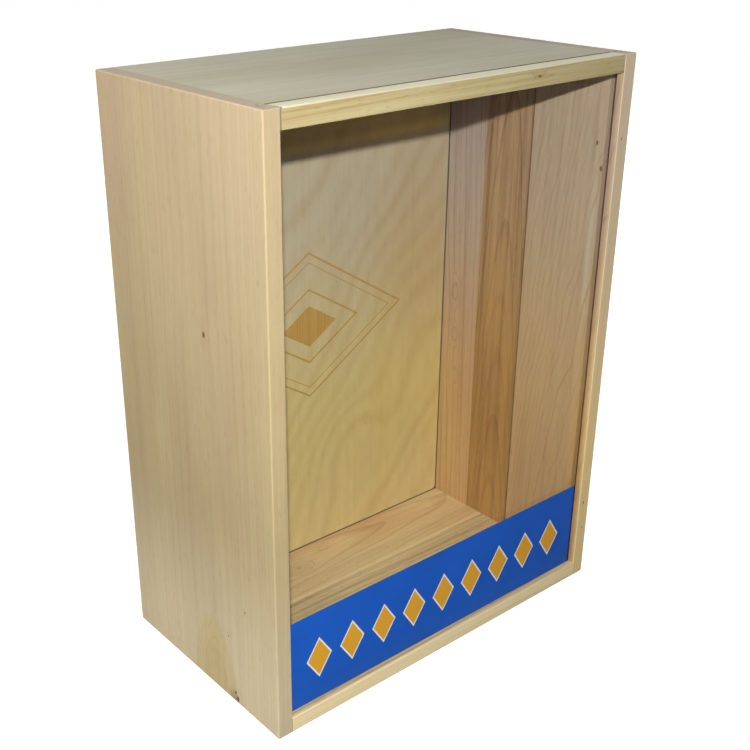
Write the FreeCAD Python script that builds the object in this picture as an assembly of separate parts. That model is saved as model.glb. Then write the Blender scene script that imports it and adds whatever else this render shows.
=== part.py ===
import FreeCAD, Part
import os

# Upright display box of solid wood with a clear lid that slides up out of its grooves.
# Millimetres. X runs across the width, Y from the front (low) to the back (high), Z up.
# The origin is at the middle of the underside.

# Overall size
box_width = 257.0
box_depth = 144.0
box_height = 340.0

# Stock thicknesses
board_thickness = 9.5
back_thickness = 6.0
panel_thickness = 4.0
sheet_thickness = 4.8
film_thickness = 0.1

# Rounding of the finished box: outer edges, and the edges that frame the lid
outer_arris = 0.8
frame_arris = 0.5

# Lid track: wood left in front of the groove, the groove, and the room round the clear sheet
lip_thickness = 4.6
groove_width = 6.4
groove_depth = 4.7
face_clearance = 0.3
edge_clearance = 0.5

# Pull strip on the lid's top edge: its flange covers the sheet's edge and runs in the grooves
pull_height = 10.0
flange_height = 3.0
flange_overhang = 0.5
pull_end_gap = 0.6
tongue_clearance = 0.4
tongue_chamfer = 1.5
pull_arris = 0.4

# Colour band on the lid: its top edge above the underside of the box, and its inset on the sheet
band_top = 67.5
band_inset = 1.5

# Back board in a routed rabbet, and the loose display panel in front of it
rabbet_lap = 4.75
rabbet_corner = 6.35
rabbet_clearance = 0.2
panel_gap = 0.8
panel_corner = 3.0

# Edge-glued staves, measured from the front of the box to each glue line
right_front_joint = 64.6
right_rear_joint = 102.0
bottom_joint = 87.0
joint_bevel = 0.45

# Brads: flat-shanked wire, set below the side boards and filled, flush in the back board
brad_width = 1.2
brad_gauge = 1.0
side_brad_length = 25.0
side_brad_setting = 1.0
side_brad_inset = 18.0
side_brads_per_end = 3
back_brad_length = 18.0
back_brad_head_width = 2.2
back_brad_head_height = 0.6
back_brad_inset = 22.0
back_brads_per_side = 4
back_brads_per_end = 3

# Overrun of every cutter past the face it breaks through
overrun = 5.0

# Planes that several pieces share
half_width = box_width / 2
front = -box_depth / 2
back = box_depth / 2
inner_x = half_width - board_thickness
inner_top = box_height - board_thickness
groove_front = front + lip_thickness
groove_back = groove_front + groove_width
groove_floor_x = inner_x + groove_depth
groove_floor_z = board_thickness - groove_depth
sheet_front = groove_front + face_clearance
sheet_back = sheet_front + sheet_thickness
sheet_edge_x = groove_floor_x - edge_clearance
pull_back = sheet_back + flange_overhang
pull_end_x = inner_x - pull_end_gap
tongue_x = groove_floor_x - tongue_clearance
flange_underside = box_height - flange_height
top_end_front = groove_back
back_board_front = back - back_thickness
panel_front = back_board_front - panel_thickness


def block(low, high):
    """A rectangular block between two opposite corners."""
    size = [top - bottom for bottom, top in zip(low, high)]
    return Part.makeBox(*size, FreeCAD.Vector(*low))


def edge_at(shape, place):
    """The edge whose middle lies nearest to a place."""
    target = FreeCAD.Vector(*place)
    return min(shape.Edges, key=lambda edge: edge.CenterOfMass.distanceToPoint(target))


def eased(shape, radius, places):
    """The shape with the edges at the given places rounded over."""
    return shape.makeFillet(radius, [edge_at(shape, place) for place in places])


def rounded_plate(half_x, low_z, high_z, low_y, high_y, corner):
    """An upright plate facing the front, with rounded corners."""
    plate = block((-half_x, low_y, low_z), (half_x, high_y, high_z))
    mid_y = (low_y + high_y) / 2
    corners = [(x, mid_y, z) for x in (-half_x, half_x) for z in (low_z, high_z)]
    return eased(plate, corner, corners)


def even_places(low, high, count):
    """Places spread evenly between two limits, both of them included."""
    step = (high - low) / (count - 1)
    return [low + step * index for index in range(count)]


def envelope():
    """The outside of the finished box, all its edges rounded over by sanding."""
    outside = block((-half_width, front, 0), (half_width, back, box_height))
    return outside.makeFillet(outer_arris, outside.Edges)


def back_rabbet():
    """The recess routed round the inside of the back edges; its corners keep the cutter's radius."""
    reach = rabbet_lap + rabbet_clearance
    return rounded_plate(inner_x + reach, board_thickness - reach, inner_top + reach,
                         back_board_front, back + overrun, rabbet_corner + rabbet_clearance)


def side_groove(hand):
    """The lid's groove in one side, run through from end to end; hand is -1 left, 1 right."""
    reach = sorted((hand * (inner_x - overrun), hand * groove_floor_x))
    return block((reach[0], groove_front, -overrun), (reach[1], groove_back, box_height + overrun))


def bottom_groove():
    """The groove in the bottom that takes the lower edge of the lid."""
    return block((-half_width, groove_front, groove_floor_z),
                 (half_width, groove_back, board_thickness + overrun))


def side_brads(hand):
    """The brads that pin one side to the ends of the top and bottom boards."""
    outer = half_width - side_brad_setting
    reach = sorted((hand * outer, hand * (outer - side_brad_length)))
    rows = (board_thickness / 2, box_height - board_thickness / 2)
    places = even_places(top_end_front + side_brad_inset, back_board_front - side_brad_inset,
                         side_brads_per_end)
    return [block((reach[0], y - brad_width / 2, z - brad_gauge / 2),
                  (reach[1], y + brad_width / 2, z + brad_gauge / 2))
            for z in rows for y in places]


def back_brad(x, z):
    """One brad driven forward through the back board, with its head flush."""
    shank = block((x - brad_gauge / 2, back - back_brad_length, z - brad_gauge / 2),
                  (x + brad_gauge / 2, back, z + brad_gauge / 2))
    head = block((x - back_brad_head_width / 2, back - back_brad_head_height, z - brad_width / 2),
                 (x + back_brad_head_width / 2, back, z + brad_width / 2))
    return shank.fuse(head).removeSplitter()


def back_brads():
    """The brads round the back board, along the middle of the rabbet's ledge."""
    ledge_x = inner_x + rabbet_lap / 2
    ledge_low = board_thickness - rabbet_lap / 2
    ledge_high = inner_top + rabbet_lap / 2
    heights = even_places(ledge_low + back_brad_inset, ledge_high - back_brad_inset, back_brads_per_side)
    widths = even_places(back_brad_inset - ledge_x, ledge_x - back_brad_inset, back_brads_per_end)
    upright = [back_brad(x, z) for x in (-ledge_x, ledge_x) for z in heights]
    level = [back_brad(x, z) for z in (ledge_low, ledge_high) for x in widths]
    return upright + level


def fastened(shape):
    """The board with the holes that its brads fill."""
    return shape.cut(Part.makeCompound(side_brads(-1) + side_brads(1) + back_brads()))


def side_board(hand):
    """A full-height side with the lid groove, the back rabbet and its brad holes."""
    reach = sorted((hand * inner_x, hand * half_width))
    side = block((reach[0], front, 0), (reach[1], back, box_height))
    side = eased(side, frame_arris, [(hand * inner_x, front, box_height / 2)])
    side = side.cut(side_groove(hand)).cut(back_rabbet())
    return fastened(side.common(envelope()))


def top_end():
    """The top board between the sides; it stops at the back of the groove so the lid can pass."""
    top = block((-inner_x, top_end_front, inner_top), (inner_x, back, box_height))
    top = eased(top, frame_arris, [(0, top_end_front, box_height)])
    return fastened(top.cut(back_rabbet()).common(envelope()))


def bottom_end():
    """The bottom board between the sides, grooved for the lower edge of the lid."""
    bottom = block((-inner_x, front, 0), (inner_x, back, board_thickness))
    bottom = eased(bottom, frame_arris, [(0, front, board_thickness)])
    bottom = bottom.cut(bottom_groove()).cut(back_rabbet())
    return fastened(bottom.common(envelope()))


def joint_groove(joint):
    """The fine vee where two staves with broken edges meet, on the inside of the right side."""
    y = front + joint
    corners = [(inner_x, y - joint_bevel), (inner_x + joint_bevel, y), (inner_x, y + joint_bevel)]
    outline = Part.makePolygon([FreeCAD.Vector(a, b, 0) for a, b in corners + corners[:1]])
    return Part.Face(outline).extrude(FreeCAD.Vector(0, 0, box_height))


def staves(board, joints):
    """A board cut along its glue lines into staves, listed from the front to the back."""
    lines = [front - overrun] + [front + joint for joint in joints] + [back + overrun]
    return [board.common(block((-half_width, low, -overrun), (half_width, high, box_height + overrun)))
            for low, high in zip(lines, lines[1:])]


def back_board():
    """The plywood back, let into the rabbet and flush with the back of the box."""
    board = rounded_plate(inner_x + rabbet_lap, board_thickness - rabbet_lap, inner_top + rabbet_lap,
                          back_board_front, back, rabbet_corner)
    return fastened(board)


def display_panel():
    """The thin panel that stands against the back board, with a shadow gap all round."""
    return rounded_plate(inner_x - panel_gap, board_thickness + panel_gap, inner_top - panel_gap,
                         panel_front, back_board_front, panel_corner)


def lid_window():
    """The clear sheet; it stands on the floor of the bottom groove, under the pull's flange."""
    return block((-sheet_edge_x, sheet_front, groove_floor_z),
                 (sheet_edge_x, sheet_back, flange_underside))


def lid_pull():
    """The rabbeted strip glued over the sheet's top edge, flush with the front and the top.

    Its front fits between the sides, and its flange ends in tongues that run in the grooves.
    """
    underside = box_height - pull_height
    section = [(front, underside), (sheet_front, underside), (sheet_front, flange_underside),
               (pull_back, flange_underside), (pull_back, box_height), (front, box_height)]
    outline = Part.makePolygon([FreeCAD.Vector(-tongue_x, y, z) for y, z in section + section[:1]])
    strip = Part.Face(outline).extrude(FreeCAD.Vector(2 * tongue_x, 0, 0))
    mid_flange = (flange_underside + box_height) / 2
    rear_corners = [edge_at(strip, (x, pull_back, mid_flange)) for x in (-tongue_x, tongue_x)]
    strip = strip.makeChamfer(tongue_chamfer, rear_corners)
    strip = eased(strip, pull_arris, [(0, front, underside), (0, pull_back, box_height)])
    for reach in ((-half_width, -pull_end_x), (pull_end_x, half_width)):
        strip = strip.cut(block((reach[0], front - overrun, underside - overrun),
                                (reach[1], sheet_front, box_height + overrun)))
    return strip.common(envelope())


def lid_band():
    """The opaque film on the front of the sheet, across its whole width at the bottom."""
    half_length = sheet_edge_x - band_inset
    return block((-half_length, sheet_front - film_thickness, groove_floor_z + band_inset),
                 (half_length, sheet_front, band_top))


def pieces():
    """Every piece of the box by name."""
    right_side = side_board(1).cut(joint_groove(right_front_joint))
    right_front, right_middle, right_rear = staves(right_side, [right_front_joint, right_rear_joint])
    bottom_front, bottom_rear = staves(bottom_end(), [bottom_joint])
    return {
        "left_side": side_board(-1),
        "right_side_front_stave": right_front,
        "right_side_middle_stave": right_middle,
        "right_side_rear_stave": right_rear,
        "top_end": top_end(),
        "bottom_front_stave": bottom_front,
        "bottom_rear_stave": bottom_rear,
        "back_board": back_board(),
        "display_panel": display_panel(),
        "left_side_brads": Part.makeCompound(side_brads(-1)),
        "right_side_brads": Part.makeCompound(side_brads(1)),
        "back_board_brads": Part.makeCompound(back_brads()),
        "lid_window": lid_window(),
        "lid_pull": lid_pull(),
        "lid_band": lid_band(),
    }


os.makedirs("parts", exist_ok=True)
for name, shape in pieces().items():
    shape.exportStep("parts/" + name + ".step")
    print(name, len(shape.Solids), "solids", round(shape.Volume, 1), "mm3", shape.isValid())
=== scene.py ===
import math
from dataclasses import dataclass
from typing import NamedTuple

import bpy
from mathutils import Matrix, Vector


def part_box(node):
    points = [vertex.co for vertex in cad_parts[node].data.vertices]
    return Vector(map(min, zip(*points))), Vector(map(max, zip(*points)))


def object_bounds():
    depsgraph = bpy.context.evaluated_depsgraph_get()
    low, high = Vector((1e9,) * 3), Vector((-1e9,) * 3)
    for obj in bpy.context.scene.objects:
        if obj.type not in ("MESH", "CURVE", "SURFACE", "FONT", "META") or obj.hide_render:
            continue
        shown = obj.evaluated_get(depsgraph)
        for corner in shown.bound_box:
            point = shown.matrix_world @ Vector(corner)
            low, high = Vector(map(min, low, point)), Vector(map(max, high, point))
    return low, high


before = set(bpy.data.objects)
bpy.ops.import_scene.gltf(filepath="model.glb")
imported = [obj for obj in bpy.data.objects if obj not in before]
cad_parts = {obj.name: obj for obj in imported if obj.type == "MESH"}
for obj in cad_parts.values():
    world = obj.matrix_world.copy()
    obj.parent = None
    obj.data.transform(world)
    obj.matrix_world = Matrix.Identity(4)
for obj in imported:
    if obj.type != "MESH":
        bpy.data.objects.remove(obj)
CAD_LOW, CAD_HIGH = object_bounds()

bl_info = {
    "name": "Sliding Lid Display Box",
    "version": (1, 0, 0),
    "blender": (4, 5, 0),
    "location": "3D View > Sidebar > Display Box",
    "description": "Finishes an upright wooden display box with a clear sliding lid",
    "category": "Material",
}

# One millimetre in the scene's metres. Wood patterns below are worked out in millimetres.
MM = 0.001

# Axes: across the box, toward its back, and up
X, Y, Z = 0, 1, 2

# Sockets of the Mix node when it mixes colours, and the settings for that
MIX_A, MIX_B, MIX_RESULT = 6, 7, 2
MIX_COLOURS = {"out": MIX_RESULT, "data_type": "RGBA"}

# Levels between which most of the noise lies
NOISE = (0.3, 0.7)

# Growth lines: how fast their strength changes, levels of that noise, and the weakest year
YEAR_CHANGE, YEAR_LEVELS, WEAKEST_YEAR = 0.8, (0.35, 0.65), 0.2

# Pin knots: width, length and lift of the swell round one, in radii, and its stain
SWELL_WIDTH, SWELL_LENGTH, SWELL_LIFT, SWELL_STAIN = 5, 14, -2, 0.1

# Pin knots: length for width, radii where the rim fades, and strength of the core
KNOT_LENGTH, KNOT_RIM, KNOT_DEPTH = 1.7, (0.9, 1.6), 0.9

# Sapwood: how far its edge strays (mm), and the share of the lines that is left on it
SAPWOOD_STRAY, SAPWOOD_LINES = 0.5, 0.25

# Right side: share of the painted greying outside, and depth to which it greys as the inside does (mm)
OUTSIDE_GREYING, INNER_DEPTH = 0.65, 4.0

# End grain: how squarely a face cuts the fibres where it begins and is full, and its strength
END_GRAIN_FACING, END_GRAIN_DEPTH = (0.6, 0.9), 0.75

# Lacquered wood: relief on boards and on plywood (mm)
BOARD_RELIEF, PLYWOOD_RELIEF = 0.06, 0.05

# Lacquered wood: roughness, what open furrows add to it, and strength of the sheen
SATIN, FURROW_ROUGHNESS, SHEEN = 0.65, 0.1, 0.16

# Plywood: softness of a ply's border, facing over which plies hide, scorching between fibres and on them
PLY_BORDER, PLY_FACING, SCORCH = 0.1, (0.5, 0.8), (0.95, 0.6)

# Ornament: solid heart, middle and fine outline, as shares of its half width
ORNAMENT_HEART, ORNAMENT_MIDDLE, ORNAMENT_FINE = 0.28, 0.5, 0.86

# Film: unevenness of its colour, share left in the groove's shade, where from the edge that falls (mm)
FILM_WEAR, FILM_SHADED, FILM_SHADE = (0.92, 1.06), 0.15, (4.2, 3.4)

# Acrylic: roughness of the scuffs, and where from the edge they begin and are full (mm)
SCUFF_ROUGHNESS, SCUFF_REACH = 0.3, (5.0, 3.0)

# Roughness of film and zinc, at the ends of the noise
FILM_ROUGHNESS, ZINC_ROUGHNESS = (0.38, 0.46), (0.34, 0.5)

# Lid's groove: begin and end of floor and walls, out from the sheet's edge (mm), and their painted shade
GROOVE_SHADE = ((-0.6, 2.0, 0.85), (-5.0, -0.6, 0.06))

# Lid's groove: its reach before the sheet and behind it (mm)
GROOVE_FRONT, GROOVE_REAR = 0.4, 1.4

# How far a box reaches past a face to hold it, and half the width of a dark joint (mm)
PAST, JOINT = 1.0, 0.5

# Stage: gap under the box (m), share of the shadow's reach that is darkest, width of the sensor (mm)
FLOOR_DROP, SHADOW_CORE, SENSOR_WIDTH = 0.1 * MM, 0.4, 36.0


class Pattern(NamedTuple):
    """Uneven growth of wood along its grain, or wear along a sheet."""

    size: tuple     # millimetres across the grain, millimetres along it, and how much fine ripple it has
    levels: tuple   # noise where it begins to show and where it shows fully


# Fibres are finer than this on the real boards; they are drawn 0.7 mm wide so that they show.
FIBRE = Pattern((0.7, 45.0, 2.0), (0.35, 0.75))
STREAK = Pattern((4.0, 260.0, 3.0), (0.4, 0.75))
CLOUD = Pattern((45.0, 140.0, 2.0), (0.38, 0.62))
FLECK = Pattern((0.9, 6.0, 0.0), (0.68, 0.78))
MOTTLE = Pattern((5.0, 11.0, 3.0), (0.35, 0.65))
# Scuffs are hair-fine; they are drawn 0.4 mm wide so that they show.
SCUFF = Pattern((0.4, 70.0, 1.0), (0.6, 0.75))


def linear(code):
    """The linear colour, with full alpha, of an sRGB hex code."""
    parts = [int(code[i:i + 2], 16) / 255 for i in (0, 2, 4)]
    light = [c / 12.92 if c <= 0.04045 else ((c + 0.055) / 1.055) ** 2.4 for c in parts]
    return (*light, 1.0)


def colour(name, code, description):
    """A colour property whose default is an sRGB hex code."""
    return bpy.props.FloatVectorProperty(name=name, description=description, default=linear(code),
                                         subtype="COLOR", size=4, min=0.0, max=1.0)


def length(name, millimetres, description):
    """A length property whose default is given in millimetres."""
    return bpy.props.FloatProperty(name=name, description=description, default=millimetres * MM,
                                   unit="LENGTH", subtype="DISTANCE", precision=4)


def power(name, watts, description):
    """A property for the power of a lamp."""
    return bpy.props.FloatProperty(name=name, description=description, default=watts, unit="POWER")


def fraction(name, share, description):
    """A property from 0 to 1."""
    return bpy.props.FloatProperty(name=name, description=description, default=share,
                                   min=0.0, max=1.0, subtype="FACTOR")


def position(name, metres, description):
    """A property for a place in the frame of the box."""
    return bpy.props.FloatVectorProperty(name=name, description=description, default=metres,
                                         subtype="TRANSLATION", unit="LENGTH")


class DisplayBoxWood(bpy.types.PropertyGroup):
    """Colours of the boards under clear lacquer: early wood, growth lines and the uneven tint."""

    left_side_pale: colour("Left side", "AE9E78", "Early wood of the left side")
    left_side_line: colour("Left side lines", "896F47", "Growth lines of the left side")
    left_side_blush: colour("Left side tint", "A79572", "Uneven tint of the left side")
    front_stave_pale: colour("Front stave", "D2AB6A", "Early wood of the front stave")
    front_stave_line: colour("Front stave lines", "926A34", "Growth lines of the front stave")
    front_stave_blush: colour("Front stave tint", "CBA168", "Uneven tint of the front stave")
    middle_stave_pale: colour("Middle stave", "C59330", "Early wood of the middle stave")
    middle_stave_line: colour("Middle stave lines", "825113", "Growth lines of the middle stave")
    middle_stave_blush: colour("Middle stave tint", "B8852C", "Uneven tint of the middle stave")
    rear_stave_pale: colour("Rear stave", "D6AE68", "Early wood of the rear stave")
    rear_stave_line: colour("Rear stave lines", "9B6C38", "Growth lines of the rear stave")
    rear_stave_blush: colour("Rear stave tint", "D0A065", "Uneven tint of the rear stave")
    # Partly painted sheen: the top's colours are greyer than its wood.
    top_end_pale: colour("Top", "B3B09D", "Early wood of the top")
    top_end_line: colour("Top lines", "8D8268", "Growth lines of the top")
    top_end_blush: colour("Top tint", "AAA690", "Uneven tint of the top")
    floor_front_pale: colour("Floor, front stave", "EFD49D", "Early wood of the floor's front stave")
    floor_front_line: colour("Floor, front lines", "A88357", "Growth lines of the floor's front stave")
    floor_front_blush: colour("Floor, front tint", "DCC48A", "Uneven tint of the floor's front stave")
    floor_rear_pale: colour("Floor, rear stave", "EFD498", "Early wood of the floor's rear stave")
    floor_rear_line: colour("Floor, rear lines", "A37640", "Growth lines of the floor's rear stave")
    floor_rear_blush: colour("Floor, rear tint", "E7BD82", "Uneven tint of the floor's rear stave")
    pull_pale: colour("Pull", "BCB187", "Early wood of the pull")
    pull_line: colour("Pull lines", "957844", "Growth lines of the pull")
    pull_blush: colour("Pull tint", "B4A67B", "Uneven tint of the pull")
    panel_pale: colour("Display panel", "E7CE78", "Early wood of the display panel")
    panel_line: colour("Display panel lines", "BF8F37", "Growth lines of the display panel")
    panel_blush: colour("Display panel tint", "E3CC7F", "Uneven tint of the display panel")
    # Painted shade: browner wood where the pull's shadow falls on the display panel.
    panel_shade_tone: colour("Display panel, aged", "8A5E2A", "Browner wood at the top of the display panel")
    back_pale: colour("Back board", "D6C29A", "Early wood of the back board")
    back_line: colour("Back board lines", "B0905E", "Growth lines of the back board")
    back_blush: colour("Back board tint", "CDB892", "Uneven tint of the back board")
    knot: colour("Knots", "5A2E1C", "Heart of the pin knots")
    sapwood: colour("Sapwood", "F7DC9F", "Sapwood along the edge of a stave")
    bottom_edge: colour("Bottom front edge", "FFECBA", "Sapwood along the front edge of the bottom")
    # Painted sheen on top of the pull; sapwood in the front stave.
    sheen_and_sapwood: colour("Pull sapwood", "D1CFB8", "Sapwood on the pull and in the front stave")
    # Painted light: wood greyer toward the top of the box.
    light_and_tint: colour("Bleached wood", "ABA5AB", "Wood greyed by light toward the top of the box")
    # Painted light: wood paler at the foot of the left side and of the panel.
    light_and_wear: colour("Faded wood", "E7D9BA", "Wood faded at the foot of the left side and of the panel")
    rosy: colour("Rosy wood", "AC9780", "Pinker wood toward the top of the left side")
    arch: colour("Left side arch", "BFA966", "Yellower wood in the arch on the left side")
    lip_pale: colour("Left front edge", "E4CC92", "Paler wood along the front edge of the left side")
    # Dark joints, and painted shade in the lid's grooves, in the gaps beside the pull and the panel, and on
    # an inner edge.
    dirt_and_shade: colour("Grime", "3A2416", "Bare wood and dust in the joints and grooves")
    end_grain: colour("End grain", "A29785", "End grain of the boards")
    core_ply: colour("Core ply", "9C7B52", "Cross plies on the edges of the plywood")
    burn: colour("Engraving", "BE8A1C", "Wood scorched by the engraving")


class DisplayBoxLid(bpy.types.PropertyGroup):
    """Colours and sizes of the lid's band and of the engraved ornament behind it."""

    film: colour("Band", "145BC3", "Film across the foot of the lid")
    print_fill: colour("Lozenges", "E2A52E", "Fill of the printed lozenges")
    print_edge: colour("Lozenge edges", "EFEDE4", "Edge of the printed lozenges")
    acrylic: colour("Acrylic", "FAFCFB", "Tint of the clear sheet")
    lozenge_pitch: length("Lozenge pitch", 24.0, "From one printed lozenge to the next")
    lozenge_width: length("Lozenge width", 18.0, "Width of a printed lozenge")
    lozenge_height: length("Lozenge height", 27.0, "Height of a printed lozenge")
    edge_width: length("Lozenge edge", 1.1, "Width of the pale edge of a printed lozenge")
    row_length: length("Row length", 216.0, "Length of the row of lozenges")
    ornament_width: length("Ornament width", 156.0, "Width of the engraved ornament")
    ornament_height: length("Ornament height", 98.0, "Height of the engraved ornament")
    ornament_line: length("Ornament line", 2.2, "Width of an engraved line")


class DisplayBoxStage(bpy.types.PropertyGroup):
    """Floor, light and camera."""

    floor: colour("Floor", "8A8987", "Matt paper under the box, as it lights the box")
    floor_reach: length("Floor reach", 2200.0, "Half the floor's width")
    key_place: position("Key lamp", (-0.405, -0.457, 0.486), "Place of the key lamp")
    key_size: length("Key size", 12.0, "Diameter of the key lamp")
    key_power: power("Key power", 5.2, "Power of the key lamp")
    left_power: power("Left softbox", 4.4, "Power of the softbox on the left")
    far_power: power("Far softboxes", 15.0, "Power of those on the right and behind")
    top_power: power("Top softbox", 2.4, "Power of the softbox overhead")
    ambient: colour("Ambient", "302F2D", "Light from all round")
    near_glow: fraction("Floor glow", 0.93, "White added to the floor beside the box")
    glow_reach: length("Shadow reach", 1000.0, "Where the floor has become plain white")
    mirrored: fraction("Mirrored white", 0.08, "White background as mirrors show it")
    eye: position("Camera", (-0.4093, -0.4568, 0.4298), "Place of the camera's eye")
    aim: bpy.props.FloatVectorProperty(name="Camera turn", description="Turn of the camera",
                                       default=[math.radians(a) for a in (65.45, 0.21, -39.37)],
                                       subtype="EULER")
    lens: bpy.props.FloatProperty(name="Lens", description="Focal length on a 36 mm wide sensor",
                                  default=53.71, unit="CAMERA")
    shift: bpy.props.FloatVectorProperty(name="Shift", description="Shift of the frame, in frame widths",
                                         default=(0.0657, 0.0145), size=2)


@dataclass
class Cut:
    """How a board was sawn from its log. Lengths are millimetres, places are in the frame of the box."""

    along: int              # axis that the grain follows: X across the box, Z up
    heart: tuple            # a place on the heart of the log
    ring: float             # growth in one year
    taper: float            # lean of the rings along the grain, as a slope
    wander: float           # how far the rings stray sideways
    line_depth: float       # strength of the growth lines
    streak_depth: float     # strength of the long streaks
    fleck_depth: float      # strength of the short flecks
    line_share: float = 0.55    # share of a year that darkens into its line
    fall: float = 0.06          # share of a year in which the line ends
    fibre_depth: float = 0.16   # strength of the fine fibres
    mottle_depth: float = 0.05  # strength of the short shimmering patches
    stray: float = 34.0     # width of the waves in which the rings stray
    stretch: float = 5.0    # how much longer than wide these waves are
    ripple: float = 2.0     # how much fine ripple is on them
    figures: tuple = ()     # swells in the rings: place, half width, half length, lift, stain
    knots: tuple = ()       # pin knots: place, radius
    patches: tuple = ()     # stains and painted shade: colour's name, place, half width, half length, soft share, strength
    sapwood: tuple = ()     # pale edge: colour's name, axis across it, where full, where it ends, strength
    light_and_tint: tuple = ()    # tints and painted light by height: colour's name, height where it begins, where it is full, how strong
    exposed: tuple = ()     # low and high corner of the outside, which gets the painted greying all over, but less
    shaded: tuple = ()      # heights where the pull's shadow begins to hold back the painted greying and where it stops it
    dirt_and_shade: tuple = ()       # dark joints, and painted shade in grooves and gaps: low corner, high corner, how strong


def add(tree, kind, inputs=(), out=0, **settings):
    """Adds a shader node with its settings, feeds its sockets and gives back one of its outputs."""
    node = tree.nodes.new("ShaderNode" + kind)
    for name, value in settings.items():
        setattr(node, name, value)
    for key, value in inputs.items() if isinstance(inputs, dict) else enumerate(inputs):
        if isinstance(value, bpy.types.NodeSocket):
            tree.links.new(value, node.inputs[key])
        else:
            node.inputs[key].default_value = value
    return node.outputs[out] if len(node.outputs) else None


def new_material(name):
    """An empty node material."""
    material = bpy.data.materials.new(name)
    material.use_nodes = True
    material.node_tree.nodes.clear()
    return material


def dress(node, material):
    """Gives a piece its finished material in place of the plain one."""
    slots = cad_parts[node].data.materials
    slots.clear()
    slots.append(material)


def grain_order(place, along):
    """A place, or three sockets, with the axis of the grain put last."""
    return [place[(along + step) % 3] for step in (1, 2, 3)]


def grown(tree, grain, width, reach, detail, out="Fac"):
    """Uneven growth: noise about so wide across the grain and so long along it."""
    spread = add(tree, "VectorMath", [grain, (1 / width, 1 / width, 1 / reach)], operation="MULTIPLY")
    return add(tree, "TexNoise", {"Vector": spread, "Scale": 1.0, "Detail": detail}, out=out)


def nearness(tree, grain, place, half_width, half_length):
    """Distance from a place, as a share of a half width across the grain and a half length along it."""
    offset = add(tree, "VectorMath", [grain, place], operation="SUBTRACT")
    share = add(tree, "VectorMath", [offset, (1 / half_width, 1 / half_width, 1 / half_length)],
                operation="MULTIPLY")
    return add(tree, "VectorMath", [share], operation="LENGTH", out="Value")


def rings(tree, grain, cut):
    """Darkness of the growth lines, which bend round swells and knots."""
    stray = grown(tree, grain, cut.stray, cut.stray * cut.stretch, cut.ripple, out="Color")
    stray = add(tree, "VectorMath", [stray, (0.5, 0.5, 0.5)], operation="SUBTRACT")
    stray = add(tree, "VectorMath", {0: stray, "Scale": 2 * cut.wander}, operation="SCALE")
    bent = add(tree, "VectorMath", [grain, stray], operation="ADD")
    heart = add(tree, "VectorMath", [bent, grain_order(cut.heart, cut.along)], operation="SUBTRACT")
    flat = add(tree, "VectorMath", [heart, (1, 1, 0)], operation="MULTIPLY")
    distance = add(tree, "VectorMath", [flat], operation="LENGTH", out="Value")
    lean = add(tree, "VectorMath", [grain, (0, 0, cut.taper)], operation="DOT_PRODUCT", out="Value")
    distance = add(tree, "Math", [distance, lean], operation="ADD")
    stain = 0.0
    knots = ((place, SWELL_WIDTH * size, SWELL_LENGTH * size, SWELL_LIFT * size, SWELL_STAIN)
             for place, size in cut.knots)
    for place, half_width, half_length, lift, tone in (*cut.figures, *knots):
        near = nearness(tree, grain, grain_order(place, cut.along), half_width, half_length)
        swell = add(tree, "MapRange", [near, 0, 1, 1, 0], interpolation_type="SMOOTHERSTEP")
        raised = add(tree, "Math", [swell, lift], operation="MULTIPLY")
        distance = add(tree, "Math", [distance, raised], operation="ADD")
        stain = add(tree, "Math", [swell, tone, stain], operation="MULTIPLY_ADD")
    years = add(tree, "Math", [distance, cut.ring], operation="DIVIDE")
    season = add(tree, "Math", [years], operation="FRACT")
    line = add(tree, "MapRange", [season, 1 - cut.line_share, 1 - cut.fall, 0, 1],
               interpolation_type="SMOOTHSTEP")
    fresh = add(tree, "MapRange", [season, 1 - cut.fall, 1, 1, 0], interpolation_type="SMOOTHSTEP")
    line = add(tree, "Math", [line, fresh], operation="MULTIPLY")
    # Some years leave a strong line and others hardly any.
    vigour = add(tree, "TexNoise", {"W": years, "Scale": YEAR_CHANGE, "Detail": 1.0}, noise_dimensions="1D")
    vigour = add(tree, "MapRange", [vigour, *YEAR_LEVELS, WEAKEST_YEAR, 1])
    line = add(tree, "Math", [line, vigour], operation="MULTIPLY")
    return add(tree, "Math", [line, cut.line_depth, stain], operation="MULTIPLY_ADD")


def within(tree, axes, low, high):
    """1 inside a box between two corners, in millimetres, and 0 outside it."""
    inside = 1.0
    for axis, bottom, top in zip(axes, low, high):
        middle, half = (bottom + top) / 2 * MM, (top - bottom) / 2 * MM
        near = add(tree, "Math", [axis, middle, half], operation="COMPARE")
        inside = add(tree, "Math", [near, inside], operation="MULTIPLY")
    return inside


def lit_and_stained(tree, cut, wood, axes, grain, base):
    """A board's colour tinted by height, partly as painted light, and stained in patches, partly as painted
    shade.
    """
    for tone, begins, full, share in cut.light_and_tint:
        pale = add(tree, "MapRange", [axes["Z"], begins * MM, full * MM, 0, share],
                   interpolation_type="SMOOTHSTEP")
        if cut.exposed:
            outside = within(tree, axes, *cut.exposed)
            outside = add(tree, "Math", [outside, OUTSIDE_GREYING * share], operation="MULTIPLY")
            pale = add(tree, "Math", [pale, outside], operation="MAXIMUM")
        if cut.shaded:
            bottom, top = cut.shaded
            lit = add(tree, "MapRange", [axes["Z"], bottom * MM, top * MM, 1, 0],
                      interpolation_type="SMOOTHSTEP")
            pale = add(tree, "Math", [pale, lit], operation="MULTIPLY")
        base = add(tree, "Mix", {0: pale, MIX_A: base, MIX_B: getattr(wood, tone)[:]}, **MIX_COLOURS)
    for tone, centre, half_width, half_length, soft, share in cut.patches:
        near = nearness(tree, grain, grain_order(centre, cut.along), half_width, half_length)
        patch = add(tree, "MapRange", [near, 1 - soft, 1, share, 0], interpolation_type="SMOOTHSTEP")
        base = add(tree, "Mix", {0: patch, MIX_A: base, MIX_B: getattr(wood, tone)[:]}, **MIX_COLOURS)
    return base


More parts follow.
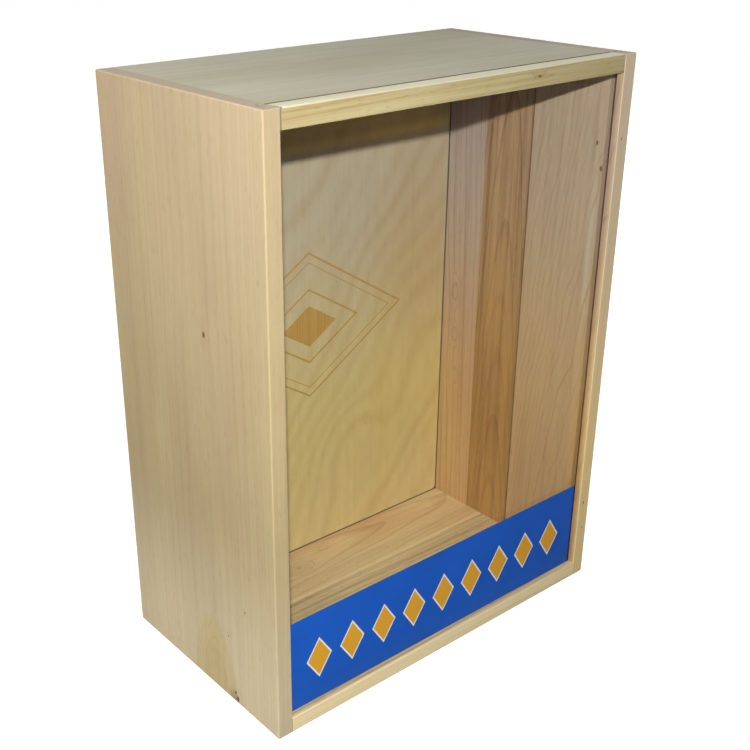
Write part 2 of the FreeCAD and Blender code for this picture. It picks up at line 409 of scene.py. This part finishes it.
def blemished(tree, cut, wood, axes, grain, fibre, shade):
    """A board's colour with its pin knots, its dark joints and painted shade in its grooves and gaps."""
    for knot, radius in cut.knots:
        near = nearness(tree, grain, grain_order(knot, cut.along), radius, KNOT_LENGTH * radius)
        ragged = add(tree, "Math", [near, fibre], operation="ADD")
        core = add(tree, "MapRange", [ragged, *KNOT_RIM, KNOT_DEPTH, 0], interpolation_type="SMOOTHSTEP")
        shade = add(tree, "Mix", {0: core, MIX_A: shade, MIX_B: wood.knot[:]}, **MIX_COLOURS)
    for low, high, share in cut.dirt_and_shade:
        dark_mark = add(tree, "Math", [within(tree, axes, low, high), share], operation="MULTIPLY")
        shade = add(tree, "Mix", {0: dark_mark, MIX_A: shade, MIX_B: wood.dirt_and_shade[:]}, **MIX_COLOURS)
    return shade


def board_face(tree, cut, wood, piece):
    """Colour, height and fibres of a planed board: rings, streaks, flecks, mottle, knots and end grain."""
    early, line_colour, blush = (getattr(wood, piece + part)[:] for part in ("_pale", "_line", "_blush"))
    place = add(tree, "TexCoord", out="Object")
    axes = add(tree, "SeparateXYZ", [place]).node.outputs
    turned = add(tree, "CombineXYZ", grain_order(axes, cut.along))
    grain = add(tree, "VectorMath", {0: turned, "Scale": 1 / MM}, operation="SCALE")
    line = rings(tree, grain, cut)
    patterns = (FIBRE, STREAK, CLOUD, FLECK, MOTTLE)
    fibre, streak, cloud, fleck, shimmer = (grown(tree, grain, *pattern.size) for pattern in patterns)
    tint = add(tree, "MapRange", [cloud, *CLOUD.levels, 0, 1])
    base = add(tree, "Mix", {0: tint, MIX_A: early, MIX_B: blush}, **MIX_COLOURS)
    banding = add(tree, "MapRange", [streak, *STREAK.levels, 0, cut.streak_depth])
    dark = add(tree, "Math", [line, banding], operation="ADD")
    furrow = add(tree, "MapRange", [fibre, *FIBRE.levels, 0, cut.fibre_depth])
    dark = add(tree, "Math", [dark, furrow], operation="ADD")
    spot = add(tree, "MapRange", [fleck, *FLECK.levels, 0, cut.fleck_depth])
    dark = add(tree, "Math", [dark, spot], operation="ADD", use_clamp=True)
    height = add(tree, "Math", [furrow, dark], operation="ADD")
    # The mottle is light playing in the fibres, so it leaves no mark in the surface.
    mottle = add(tree, "MapRange", [shimmer, *MOTTLE.levels, 0, cut.mottle_depth])
    dark = add(tree, "Math", [dark, mottle], operation="ADD")
    if cut.sapwood:
        tone, number, full, ends, share = cut.sapwood
        ragged = add(tree, "MapRange", [streak, *NOISE, -SAPWOOD_STRAY * MM, SAPWOOD_STRAY * MM])
        depth = add(tree, "Math", [axes[number], ragged], operation="ADD")
        sap = add(tree, "MapRange", [depth, full * MM, ends * MM, share, 0],
                  interpolation_type="SMOOTHSTEP")
        base = add(tree, "Mix", {0: sap, MIX_A: base, MIX_B: getattr(wood, tone)[:]}, **MIX_COLOURS)
        calm = add(tree, "MapRange", [sap, 0, 1, 1, SAPWOOD_LINES])
        dark = add(tree, "Math", [dark, calm], operation="MULTIPLY")
    base = lit_and_stained(tree, cut, wood, axes, grain, base)
    # The lines darken tinted wood by as much as they darken the early wood.
    late = [min(1.0, line / pale) for line, pale in zip(line_colour, early)]
    shade = add(tree, "Mix", {0: dark, MIX_A: base, MIX_B: late}, **MIX_COLOURS, blend_type="MULTIPLY")
    shade = blemished(tree, cut, wood, axes, grain, fibre, shade)
    axis = [float(number == cut.along) for number in range(3)]
    normal = add(tree, "TexCoord", out="Normal")
    facing = add(tree, "VectorMath", [normal, axis], operation="DOT_PRODUCT", out="Value")
    facing = add(tree, "Math", [facing], operation="ABSOLUTE")
    end = add(tree, "MapRange", [facing, *END_GRAIN_FACING, 0, END_GRAIN_DEPTH])
    shade = add(tree, "Mix", {0: end, MIX_A: shade, MIX_B: wood.end_grain[:]}, **MIX_COLOURS)
    return shade, height, fibre


def lacquered(tree, shade, height, fibre, relief):
    """The surface of sanded wood under a thin clear coat: a quiet sheen, with the pores a little open."""
    bump = add(tree, "Bump", {"Strength": 0.35, "Distance": relief * MM, "Height": height}, invert=True)
    rough = add(tree, "MapRange", [fibre, *NOISE, SATIN, SATIN + FURROW_ROUGHNESS])
    surface = add(tree, "BsdfPrincipled", {"Base Color": shade, "Roughness": rough, "IOR": 1.5,
                                           "Specular IOR Level": SHEEN, "Normal": bump})
    add(tree, "OutputMaterial", [surface])


def lacquered_board(name, cut, wood, piece):
    """Planed hardwood under clear satin lacquer.

    The eye sees fine lines along the grain that close into arches where the saw ran across the
    rings, darker end grain, short flecks, a faint mottle and a quiet broken sheen.
    """
    material = new_material(name)
    shade, height, fibre = board_face(material.node_tree, cut, wood, piece)
    lacquered(material.node_tree, shade, height, fibre, BOARD_RELIEF)
    return material


def plywood(name, cut, wood, piece, ply, ornament=None):
    """Sanded birch plywood, its face peeled from the log.

    The eye sees broad soft figure with no fibres standing out, and thin dark and pale plies on
    the edges. Where an ornament is given, the wood is scorched amber along its lines.
    """
    material = new_material(name)
    tree = material.node_tree
    shade, height, fibre = board_face(tree, cut, wood, piece)
    place = add(tree, "TexCoord", out="Object")
    depth = add(tree, "SeparateXYZ", [place], out="Y")
    layer = add(tree, "Math", [depth, 2 * ply * MM], operation="PINGPONG")
    layer = add(tree, "MapRange", [layer, (1 - PLY_BORDER) * ply * MM, (1 + PLY_BORDER) * ply * MM, 0, 1])
    normal = add(tree, "TexCoord", out="Normal")
    facing = add(tree, "Math", [add(tree, "SeparateXYZ", [normal], out="Y")], operation="ABSOLUTE")
    edge = add(tree, "MapRange", [facing, *PLY_FACING, 1, 0])
    core = add(tree, "Math", [edge, layer], operation="MULTIPLY")
    shade = add(tree, "Mix", {0: core, MIX_A: shade, MIX_B: wood.core_ply[:]}, **MIX_COLOURS)
    if ornament:
        mark = engraved(tree, ornament)
        burnt = add(tree, "MapRange", [fibre, *NOISE, *SCORCH])
        burnt = add(tree, "Math", [burnt, mark], operation="MULTIPLY")
        shade = add(tree, "Mix", {0: burnt, MIX_A: shade, MIX_B: wood.burn[:]}, **MIX_COLOURS)
        height = add(tree, "Math", [height, mark], operation="ADD")
    lacquered(tree, shade, height, fibre, PLYWOOD_RELIEF)
    return material


def lozenge(tree, across, up, half_width, half_height):
    """Nearness to the middle of a lozenge: 0 at its middle and 1 on its outline."""
    across = add(tree, "Math", [across], operation="ABSOLUTE")
    across = add(tree, "Math", [across, half_width], operation="DIVIDE")
    up = add(tree, "Math", [up], operation="ABSOLUTE")
    up = add(tree, "Math", [up, half_height], operation="DIVIDE")
    return add(tree, "Math", [across, up], operation="ADD")


def engraved(tree, lid):
    """Where the panel's ornament is engraved: three nested lozenge outlines round a solid one."""
    low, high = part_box("display_panel")
    axes = add(tree, "SeparateXYZ", [add(tree, "TexCoord", out="Object")]).node.outputs
    up = add(tree, "Math", [axes["Z"], (low.z + high.z) / 2], operation="SUBTRACT")
    near = lozenge(tree, axes["X"], up, lid.ornament_width / 2, lid.ornament_height / 2)
    line = lid.ornament_line / lid.ornament_width
    solid = add(tree, "Math", [near, ORNAMENT_HEART], operation="LESS_THAN")
    for middle, half in ((1 - line, line), (ORNAMENT_FINE, line / 2), (ORNAMENT_MIDDLE, line)):
        stroke = add(tree, "Math", [near, middle, half], operation="COMPARE")
        solid = add(tree, "Math", [solid, stroke], operation="MAXIMUM")
    return solid


def printed_film(name, lid):
    """Opaque vinyl film with a screen-printed row of lozenges.

    The eye sees one strong flat colour with a satin sheen, faint roller texture and crisp print.
    """
    material = new_material(name)
    tree = material.node_tree
    low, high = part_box("lid_band")
    place = add(tree, "TexCoord", out="Object")
    axes = add(tree, "SeparateXYZ", [place]).node.outputs
    up = add(tree, "Math", [axes["Z"], (low.z + high.z) / 2], operation="SUBTRACT")
    across = add(tree, "Math", [axes["X"], lid.lozenge_pitch / 2, -lid.lozenge_pitch / 2], operation="WRAP")
    near = lozenge(tree, across, up, lid.lozenge_width / 2, lid.lozenge_height / 2)
    inner = 1 - 2 * lid.edge_width / lid.lozenge_width
    reach = add(tree, "Math", [axes["X"]], operation="ABSOLUTE")
    row = add(tree, "Math", [reach, lid.row_length / 2], operation="LESS_THAN")
    edge = add(tree, "Math", [near, 1.0], operation="LESS_THAN")
    edge = add(tree, "Math", [edge, row], operation="MULTIPLY")
    fill = add(tree, "Math", [near, inner], operation="LESS_THAN")
    fill = add(tree, "Math", [fill, row], operation="MULTIPLY")
    # The film's roller texture is under 0.1 mm; it is drawn 0.8 mm wide so that it shows.
    texture = add(tree, "TexNoise", {"Vector": place, "Scale": 1 / (0.8 * MM), "Detail": 1.0})
    worn = add(tree, "TexNoise", {"Vector": place, "Scale": 1 / (30 * MM), "Detail": 3.0})
    light_and_wear = add(tree, "MapRange", [worn, *NOISE, *FILM_WEAR])
    # Painted shade: the film darkens toward its ends, where they run into the grooves.
    begins, full = (high.x - margin * MM for margin in FILM_SHADE)
    track = add(tree, "MapRange", [reach, begins, full, 1, FILM_SHADED])
    light_and_wear = add(tree, "Math", [light_and_wear, track], operation="MULTIPLY")
    film = add(tree, "Mix", {0: 1.0, MIX_A: lid.film[:], MIX_B: light_and_wear}, **MIX_COLOURS,
               blend_type="MULTIPLY")
    shade = add(tree, "Mix", {0: edge, MIX_A: film, MIX_B: lid.print_edge[:]}, **MIX_COLOURS)
    shade = add(tree, "Mix", {0: fill, MIX_A: shade, MIX_B: lid.print_fill[:]}, **MIX_COLOURS)
    bump = add(tree, "Bump", {"Strength": 0.2, "Distance": 0.02 * MM, "Height": texture})
    rough = add(tree, "MapRange", [texture, *NOISE, *FILM_ROUGHNESS])
    surface = add(tree, "BsdfPrincipled", {"Base Color": shade, "Roughness": rough, "IOR": 1.53,
                                           "Specular IOR Level": 0.15, "Normal": bump})
    add(tree, "OutputMaterial", [surface])
    return material


def clear_acrylic(name, lid):
    """Polished cast acrylic sheet.

    The eye sees straight through it, with a faint mirror of the room, bright edges, and fine
    upright scuffs where its edges run in the grooves. Lamps shine through it unbent.
    """
    material = new_material(name)
    tree = material.node_tree
    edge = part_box("lid_window")[1].x
    place = add(tree, "TexCoord", out="Object")
    grain = add(tree, "VectorMath", {0: place, "Scale": 1 / MM}, operation="SCALE")
    across = add(tree, "Math", [add(tree, "SeparateXYZ", [place], out="X")], operation="ABSOLUTE")
    scuff = grown(tree, grain, *SCUFF.size)
    scuff = add(tree, "MapRange", [scuff, *SCUFF.levels, 0, SCUFF_ROUGHNESS])
    begins, full = (edge - margin * MM for margin in SCUFF_REACH)
    track = add(tree, "MapRange", [across, begins, full, 0, 1])
    rough = add(tree, "Math", [scuff, track], operation="MULTIPLY")
    sheet = add(tree, "BsdfPrincipled", {"Base Color": lid.acrylic[:], "Roughness": rough, "IOR": 1.49,
                                         "Transmission Weight": 1.0})
    # Light from the lamps and from the boards passes straight through, so it is counted once.
    through = add(tree, "BsdfTransparent", {"Color": lid.acrylic[:]})
    rays = add(tree, "LightPath").node.outputs
    surface = add(tree, "MixShader", [rays["Is Diffuse Ray"], sheet, through])
    surface = add(tree, "MixShader", [rays["Is Shadow Ray"], surface, through])
    add(tree, "OutputMaterial", [surface])
    return material


def galvanised_wire(name):
    """Zinc-coated steel wire, cut and pointed.

    The eye sees a dull grey metal with soft cloudy patches.
    """
    material = new_material(name)
    tree = material.node_tree
    place = add(tree, "TexCoord", out="Object")
    cloud = add(tree, "TexNoise", {"Vector": place, "Scale": 1 / (0.9 * MM), "Detail": 2.0})
    dull, bright = linear("8E8F8D"), linear("BDBDB8")
    shade = add(tree, "Mix", {0: cloud, MIX_A: dull, MIX_B: bright}, **MIX_COLOURS)
    rough = add(tree, "MapRange", [cloud, *NOISE, *ZINC_ROUGHNESS])
    surface = add(tree, "BsdfPrincipled", {"Base Color": shade, "Metallic": 1.0, "Roughness": rough})
    add(tree, "OutputMaterial", [surface])
    return material


def lid_groove(low, high):
    """The lid's groove in a side with these corners, as painted shade: dark at its floor, faint on its
    walls.
    """
    sheet_low, sheet_high = (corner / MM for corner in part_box("lid_window"))
    hand = math.copysign(1, low.x)
    front, rear = sheet_low.y - GROOVE_FRONT, sheet_high.y + GROOVE_REAR
    for begins, ends, share in GROOVE_SHADE:
        reach = sorted((hand * (sheet_high.x + begins), hand * (sheet_high.x + ends)))
        yield (reach[0], front, 0), (reach[1], rear, high.z + PAST), share


class DISPLAY_BOX_OT_left_side(bpy.types.Operator):
    """Finish the left side: one board, straight grained, with an arch of figure at its foot"""

    bl_idname = "display_box.left_side"
    bl_label = "Left Side"

    def execute(self, context):
        low, high = (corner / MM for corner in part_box("left_side"))
        face = low.x
        cut = Cut(along=Z, heart=(face + 62, -12, 0), ring=1.9, taper=0.004, wander=2.0,
                  line_depth=0.15, streak_depth=0.14, fleck_depth=0.2, fibre_depth=0.045,
                  figures=(((face, -11.5, -4), 23, 62, -9.0, 0.0), ((face, -16, 60), 14, 60, -1.5, 0.06)),
                  patches=(("left_side_line", (face, -11.5, -4), 22.5, 55, 0.16, 0.07),
                           ("arch", (face, -11.5, -4), 22.5, 55, 0.16, 0.34),
                           ("arch", (face, -11.5, 0), 15.5, 39, 0.25, 0.12),
                           ("left_side_line", (face, -12, 2), 13.5, 30, 0.2, 0.08),
                           ("arch", (face, -12, 2), 11, 26, 0.3, 0.16),
                           ("left_side_line", (face, -29, 2), 6, 9, 0.8, 0.4)),
                  # Paler at the foot as painted light, and rosier toward the top.
                  light_and_tint=(("light_and_wear", 130, 5, 0.5), ("rosy", 170, 330, 0.45)),
                  sapwood=("lip_pale", Y, low.y - 0.2, low.y + 1.2, 0.16),
                  knots=(((face, -17.4, 221.4), 1.3), ((face, -33.5, 3.0), 1.6), ((face, -31.5, 6.5), 0.9),
                         ((face, -43.7, 68.2), 0.5), ((face, -26.8, 43.2), 0.5)),
                  dirt_and_shade=tuple(lid_groove(low, high)))
        wood = context.scene.box_wood
        dress("left_side", lacquered_board("planed alder, left side", cut, wood, "left_side"))
        return {"FINISHED"}


class DISPLAY_BOX_OT_right_side(bpy.types.Operator):
    """Finish the three staves of the right side: pale, brown and pinkish boards"""

    bl_idname = "display_box.right_side"
    bl_label = "Right Side"

    def execute(self, context):
        low, high = (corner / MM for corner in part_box("right_side_front_stave"))
        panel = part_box("display_panel")[0] / MM
        face, joint, back = low.x, high.y, CAD_HIGH.y / MM
        vee = ((face - PAST, joint - JOINT, 0), (face + PAST, joint + JOINT, high.z), 0.7)
        # Painted shade: the wall behind the display panel is dark, so the gap beside the panel shows as a
        # dark line.
        behind_panel = ((face - PAST, panel.y - JOINT, 0), (face + PAST, back + PAST, high.z), 0.75)
        outside = ((face + INNER_DEPTH, low.y + PAST, -PAST), (high.x + PAST, back + PAST, high.z + PAST))
        # Painted shade darkens the inner edge, up to 5 mm behind the front.
        shaded_inner_edge = ((face - PAST, low.y + 0.4, 0), (face + 0.5, low.y + 5, high.z), 0.15)
        # The staves grey toward the top as painted light.
        cuts = {
            "front_stave": Cut(
                along=Z, heart=(face + 24, -76, 0), ring=3.2, taper=0.12, wander=5.0, stray=26.0,
                stretch=2.2, line_depth=0.36, line_share=0.3, streak_depth=0.25, fleck_depth=0.15,
                patches=(("sheen_and_sapwood", (face, -57, 230), 4.5, 75, 0.8, 0.3),),
                knots=(((face, -55.6, 289.0), 1.0), ((face, -60.0, 274.8), 1.1), ((122.5, low.y, 293), 0.6),
                       ((123, low.y, 55), 0.7), ((124, low.y, 36), 0.5)),
                sapwood=("sapwood", Y, low.y + 0.1, low.y + 4, 0.85),
                light_and_tint=(("light_and_tint", 60, 300, 0.5),), exposed=outside,
                dirt_and_shade=(vee, shaded_inner_edge, *lid_groove(low, high))),
            "middle_stave": Cut(
                along=Z, heart=(face + 22, 9, 0), ring=2.2, taper=0.05, wander=1.8,
                line_depth=0.38, line_share=0.4, streak_depth=0.6, fleck_depth=0.2,
                light_and_tint=(("light_and_tint", 60, 300, 0.38),), exposed=outside, dirt_and_shade=(vee,)),
            "rear_stave": Cut(
                along=Z, heart=(face + 50, 78, 0), ring=2.4, taper=0.02, wander=2.6,
                line_depth=0.38, line_share=0.35, streak_depth=0.25, fleck_depth=0.15,
                figures=(((face, 48.6, 170), 8, 20, -4.0, 0.05), ((face, 48, 138.5), 7, 14, -4.0, 0.1),
                         ((face, 45, 108), 6, 12, -3.0, 0.1)),
                light_and_tint=(("light_and_tint", 60, 280, 0.68),), exposed=outside, dirt_and_shade=(behind_panel,)),
        }
        for piece, cut in cuts.items():
            words = "planed alder, " + piece.replace("_", " ")
            dress("right_side_" + piece, lacquered_board(words, cut, context.scene.box_wood, piece))
        return {"FINISHED"}


class DISPLAY_BOX_OT_top_end(bpy.types.Operator):
    """Finish the top: one quiet pale board"""

    bl_idname = "display_box.top_end"
    bl_label = "Top"

    def execute(self, context):
        low, high = (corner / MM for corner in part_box("top_end"))
        # Painted shade: the top is dark along its gap beside the pull.
        beside_pull = ((low.x, low.y - PAST, low.z), (high.x, low.y + 1.6, high.z), 0.7)
        cut = Cut(along=X, heart=(0, 10, high.z + 90), ring=2.4, taper=0.006, wander=2.4,
                  line_depth=0.12, streak_depth=0.16, fleck_depth=0.12,
                  dirt_and_shade=(beside_pull,))
        dress("top_end", lacquered_board("planed alder, top", cut, context.scene.box_wood, "top_end"))
        return {"FINISHED"}


class DISPLAY_BOX_OT_bottom(bpy.types.Operator):
    """Finish the two staves of the bottom: brown at the front, pale with a swirl at the back"""

    bl_idname = "display_box.bottom"
    bl_label = "Bottom"

    def execute(self, context):
        low, high = (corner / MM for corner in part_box("bottom_rear_stave"))
        face, edge = high.z, CAD_LOW.y / MM
        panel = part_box("display_panel")[0] / MM
        # Painted shade: the floor under the display panel is dark, so the gap below the panel shows as a
        # dark line.
        under_panel = ((low.x, panel.y - JOINT, face - PAST), (high.x, high.y, face + PAST), 0.75)
        front = Cut(along=X, heart=(0, -20, face - 34), ring=2.2, taper=0.02, wander=3.0,
                    line_depth=0.45, line_share=0.4, streak_depth=0.75, fleck_depth=0.2,
                    sapwood=("bottom_edge", Y, edge + 0.4, edge + 3.5, 0.92))
        rear = Cut(along=X, heart=(0, 48, face - 40), ring=2.2, taper=0.03, wander=2.6,
                   line_depth=0.35, line_share=0.35, streak_depth=0.2, fleck_depth=0.15,
                   figures=(((-26, 42, face), 11, 22, -7.0, 0.15), ((2, 52, face), 7, 12, -4.0, 0.05)),
                   sapwood=("sapwood", Y, low.y + 0.6, low.y + 3, 0.95), dirt_and_shade=(under_panel,))
        wood = context.scene.box_wood
        brown = lacquered_board("planed alder heartwood, floor", front, wood, "floor_front")
        dress("bottom_front_stave", brown)
        pale = lacquered_board("planed alder sapwood, floor", rear, wood, "floor_rear")
        dress("bottom_rear_stave", pale)
        return {"FINISHED"}


class DISPLAY_BOX_OT_panels(bpy.types.Operator):
    """Finish the plywood display panel, with its engraved ornament, and the plywood back board"""

    bl_idname = "display_box.panels"
    bl_label = "Plywood Panels"

    def execute(self, context):
        wood, lid = context.scene.box_wood, context.scene.box_lid
        panel = Cut(along=Z, heart=(260, 262, 0), ring=15.0, taper=0.5, wander=26.0,
                    stray=85.0, stretch=1.3, ripple=0.6, line_depth=0.22, line_share=1.0, fall=0.5,
                    streak_depth=0.1, fleck_depth=0.16, fibre_depth=0.05, mottle_depth=0.09,
                    figures=(((32, 62, 78), 50, 50, -16.0, 0.0),),
                    # The first patch darkens the panel toward its right; the second is browner painted
                    # shade where the pull's shadow falls.
                    patches=(("panel_line", (95, 62, 200), 60, 100, 1.0, 0.3),
                             ("panel_shade_tone", (0, 62, 345), 400, 64, 0.12, 0.4)),
                    # Painted light: greyer toward the top but not in the pull's shadow, and paler at the
                    # foot.
                    light_and_tint=(("light_and_tint", 70, 260, 0.62), ("light_and_wear", 110, 15, 0.16)), shaded=(277, 285))
        back = Cut(along=Z, heart=(-260, -240, 0), ring=15.0, taper=0.4, wander=26.0,
                   stray=90.0, stretch=1.5, ripple=0.8, line_depth=0.3, line_share=1.0, fall=0.4,
                   streak_depth=0.1, fleck_depth=0.12, fibre_depth=0.06)
        sheet = plywood("sanded birch plywood, engraved", panel, wood, "panel", ply=1.3, ornament=lid)
        dress("display_panel", sheet)
        sheet = plywood("sanded birch plywood, back", back, wood, "back", ply=1.2)
        dress("back_board", sheet)
        return {"FINISHED"}


class DISPLAY_BOX_OT_brads(bpy.types.Operator):
    """Finish the brads in the joints and round the back board"""

    bl_idname = "display_box.brads"
    bl_label = "Brads"

    def execute(self, context):
        material = galvanised_wire("galvanised steel wire")
        for node in ("left_side_brads", "right_side_brads", "back_board_brads"):
            dress(node, material)
        return {"FINISHED"}


class DISPLAY_BOX_OT_lid(bpy.types.Operator):
    """Finish the lid: its clear sheet, its printed band and its wooden pull"""

    bl_idname = "display_box.lid"
    bl_label = "Lid"

    def edges(self):
        """Where the pull is painted dark: shade at its ends and at the edge beside the top board, and
        darker tongues.
        """
        low, high = (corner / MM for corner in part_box("lid_pull"))
        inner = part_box("top_end")[1].x / MM
        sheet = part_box("lid_window")[0] / MM
        # The edge beside the top board is dark for 1.2 mm on top and 2 mm down, the ends for 1 mm.
        yield (low.x, high.y - 1.2, high.z - 2), (high.x, high.y, high.z + PAST), 0.7
        for hand in (-1, 1):
            reach = sorted((hand * (inner - 1), hand * inner))
            yield (reach[0], low.y, low.z), (reach[1], sheet.y, high.z), 0.85
            reach = sorted((hand * inner, hand * high.x))
            yield (reach[0], sheet.y, low.z), (reach[1], high.y, high.z + PAST), 0.4

    def execute(self, context):
        low, high = (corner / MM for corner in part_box("lid_pull"))
        cut = Cut(along=X, heart=(0, low.y + 30, high.z + 16), ring=1.8, taper=0.012, wander=1.6,
                  line_depth=0.3, streak_depth=0.45, fleck_depth=0.3,
                  knots=(((48.1, low.y, 335.5), 0.8),),
                  # Painted sheen: the pull's top face is pale.
                  sapwood=("sheen_and_sapwood", Z, high.z, high.z - 0.8, 0.9), dirt_and_shade=tuple(self.edges()))
        dress("lid_pull", lacquered_board("planed poplar, pull", cut, context.scene.box_wood, "pull"))
        dress("lid_window", clear_acrylic("polished cast acrylic", context.scene.box_lid))
        dress("lid_band", printed_film("satin vinyl film, printed", context.scene.box_lid))
        return {"FINISHED"}


class DISPLAY_BOX_OT_stage(bpy.types.Operator):
    """Set the stage: a white paper floor, a key lamp, softboxes, a dim room and the camera"""

    bl_idname = "display_box.stage"
    bl_label = "Stage"

    def execute(self, context):
        stage = context.scene.box_stage
        self.lay_floor(context, stage)
        self.hang_lamps(context, stage)
        self.light_the_room(context, stage)
        self.set_camera(context, stage)
        context.scene.view_settings.view_transform = "Standard"
        return {"FINISHED"}

    def seen(self, tree, stage):
        """How white the background is.

        It is white for the camera and through a clear sheet, dim in mirrors, and lights nothing.
        """
        rays = add(tree, "LightPath").node.outputs
        # A depth below one half means that the ray has met no mirror.
        plain = add(tree, "Math", [rays["Glossy Depth"], 0.5], operation="LESS_THAN")
        through = add(tree, "Math", [rays["Is Transmission Ray"], plain], operation="MULTIPLY")
        outright = add(tree, "Math", [rays["Is Camera Ray"], through], operation="MAXIMUM")
        mirrored = add(tree, "Math", [rays["Is Glossy Ray"], stage.mirrored], operation="MULTIPLY")
        return add(tree, "Math", [outright, mirrored], operation="MAXIMUM")

    def lay_floor(self, context, stage):
        """A wide sheet of matt paper that reads as white and keeps the shadow of the box."""
        mesh = bpy.data.meshes.new("floor")
        reach, drop = stage.floor_reach, -FLOOR_DROP
        corners = [(x * reach, y * reach, drop) for x, y in ((-1, -1), (1, -1), (1, 1), (-1, 1))]
        mesh.from_pydata(corners, [], [(0, 1, 2, 3)])
        floor = bpy.data.objects.new("floor", mesh)
        context.scene.collection.objects.link(floor)
        material = new_material("matt white paper")
        tree = material.node_tree
        paper = add(tree, "BsdfPrincipled", {"Base Color": stage.floor[:], "Roughness": 0.9})
        place = add(tree, "TexCoord", out="Object")
        distance = add(tree, "VectorMath", [place], operation="LENGTH", out="Value")
        near, far = SHADOW_CORE * stage.glow_reach, stage.glow_reach
        level = add(tree, "MapRange", [distance, near, far, stage.near_glow, 1])
        level = add(tree, "Math", [level, self.seen(tree, stage)], operation="MULTIPLY")
        glow = add(tree, "Emission", {"Strength": level})
        add(tree, "OutputMaterial", [add(tree, "AddShader", [paper, glow])])
        mesh.materials.append(material)

    def hang_lamps(self, context, stage):
        """A small key lamp above the camera, and large softboxes to the sides, behind and overhead."""
        middle = (CAD_LOW + CAD_HIGH) / 2
        lamps = {
            "key": (Vector(stage.key_place), stage.key_size, stage.key_power),
            "left_softbox": (Vector((-1.2, 0.2, 0.5)), 0.9, stage.left_power),
            "right_softbox": (Vector((1.6, 0.4, 0.7)), 1.2, stage.far_power),
            "back_softbox": (Vector((0.0, 1.8, 0.8)), 1.2, stage.far_power),
            "top_softbox": (Vector((-0.42, 0.12, 0.85)), 0.5, stage.top_power),
        }
        for name, (place, size, watts) in lamps.items():
            light = bpy.data.lights.new(name, "AREA")
            light.shape = "DISK"
            light.size = size
            light.energy = watts
            lamp = bpy.data.objects.new(name, light)
            lamp.location = place
            lamp.rotation_euler = (middle - place).to_track_quat("-Z", "Y").to_euler()
            lamp.visible_camera = False
            lamp.visible_transmission = False
            context.scene.collection.objects.link(lamp)

    def light_the_room(self, context, stage):
        """Even light from all round, white where the camera sees past the floor."""
        world = bpy.data.worlds.new("room")
        world.use_nodes = True
        tree = world.node_tree
        tree.nodes.clear()
        seen, white = self.seen(tree, stage), (1, 1, 1, 1)
        light = add(tree, "Mix", {0: seen, MIX_A: stage.ambient[:], MIX_B: white}, **MIX_COLOURS)
        room = add(tree, "Background", {"Color": light})
        add(tree, "OutputWorld", [room])
        context.scene.world = world

    def set_camera(self, context, stage):
        """The camera, with its frame shifted as the picture was cropped."""
        data = bpy.data.cameras.new("camera")
        data.sensor_width = SENSOR_WIDTH
        data.lens = stage.lens
        data.shift_x, data.shift_y = stage.shift
        camera = bpy.data.objects.new("camera", data)
        camera.location = stage.eye
        camera.rotation_euler = stage.aim
        context.scene.collection.objects.link(camera)
        context.scene.camera = camera


STEPS = (
    DISPLAY_BOX_OT_left_side,
    DISPLAY_BOX_OT_right_side,
    DISPLAY_BOX_OT_top_end,
    DISPLAY_BOX_OT_bottom,
    DISPLAY_BOX_OT_panels,
    DISPLAY_BOX_OT_brads,
    DISPLAY_BOX_OT_lid,
    DISPLAY_BOX_OT_stage,
)


class DISPLAY_BOX_PT_sidebar(bpy.types.Panel):
    """Steps and settings of the display box"""

    bl_label = "Display Box"
    bl_idname = "DISPLAY_BOX_PT_sidebar"
    bl_space_type = "VIEW_3D"
    bl_region_type = "UI"
    bl_category = "Display Box"

    def draw(self, context):
        layout = self.layout
        for step in STEPS:
            layout.operator(step.bl_idname)
        for group in (context.scene.box_wood, context.scene.box_lid, context.scene.box_stage):
            column = layout.column()
            for name in group.__annotations__:
                column.prop(group, name)


GROUPS = {"box_wood": DisplayBoxWood, "box_lid": DisplayBoxLid, "box_stage": DisplayBoxStage}


def register():
    """Adds the settings, the steps and the sidebar."""
    for name, group in GROUPS.items():
        bpy.utils.register_class(group)
        setattr(bpy.types.Scene, name, bpy.props.PointerProperty(type=group))
    for part in (*STEPS, DISPLAY_BOX_PT_sidebar):
        bpy.utils.register_class(part)


def unregister():
    """Takes them away again, in the opposite order."""
    for part in reversed((*STEPS, DISPLAY_BOX_PT_sidebar)):
        bpy.utils.unregister_class(part)
    for name, group in reversed(GROUPS.items()):
        delattr(bpy.types.Scene, name)
        bpy.utils.unregister_class(group)


def main():
    """Runs every step in order."""
    register()
    for step in STEPS:
        family, name = step.bl_idname.split(".")
        getattr(getattr(bpy.ops, family), name)()


if __name__ == "__main__":
    main()
